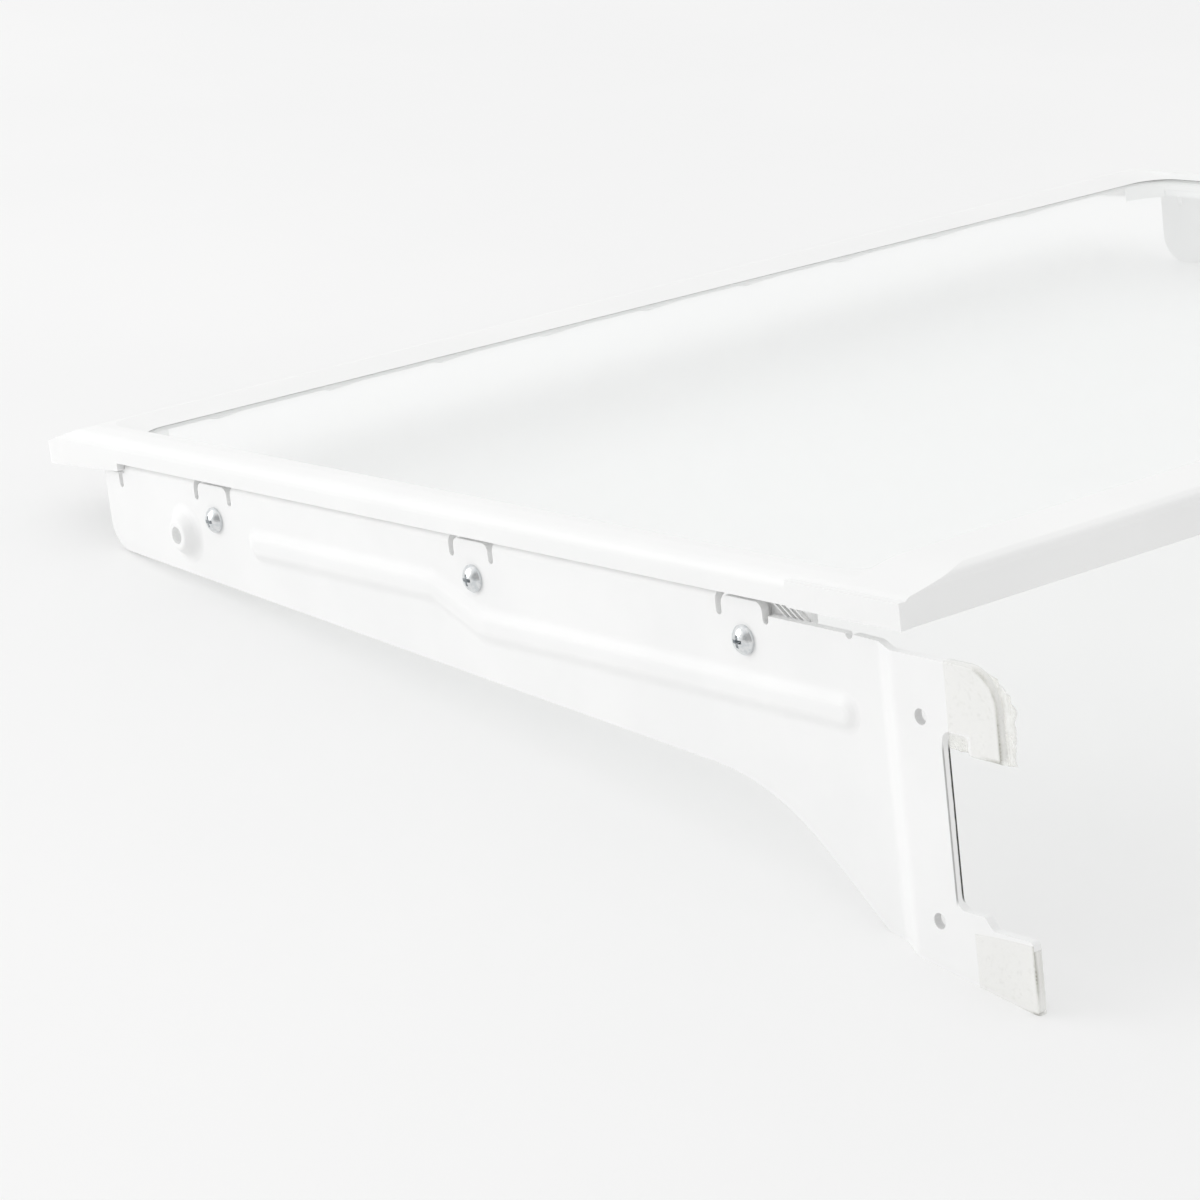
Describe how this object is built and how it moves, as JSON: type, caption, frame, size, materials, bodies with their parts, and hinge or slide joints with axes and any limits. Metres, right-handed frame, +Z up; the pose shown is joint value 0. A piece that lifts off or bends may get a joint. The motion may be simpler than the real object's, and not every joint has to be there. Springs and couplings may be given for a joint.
{
  "type": "refrigerator shelf",
  "caption": "Glass refrigerator shelf in a white moulded frame with a raised rear edge, held by pressed steel side brackets that end in rail hooks.",
  "frame": {"origin": "midway between the brackets, on the upright edges that meet the rails, at the height of the hooks' seats", "axes": "+X to the right as seen from the cabinet's front, +Y to the rear, +Z up, square to the pane"},
  "size_m": [0.4926, 0.474, 0.1032],
  "materials": {
    "glass": "clear tempered glass, faint green",
    "frame_plastic": "white moulded plastic, low gloss",
    "bracket_paint": "white powder coat on pressed steel",
    "screw_zinc": "bright zinc plate",
    "clear_tape": "clear tape, slightly yellow"
  },
  "bodies": {
    "root": {"glass_panel": "glass", "shelf_frame": "frame_plastic", "right_bracket": "bracket_paint", "left_bracket": "bracket_paint", "bracket_screws": "screw_zinc", "right_hook_tape": "clear_tape", "right_tab_tape": "clear_tape", "left_hook_tape": "clear_tape", "left_tab_tape": "clear_tape"}
  },
  "joints": []
}
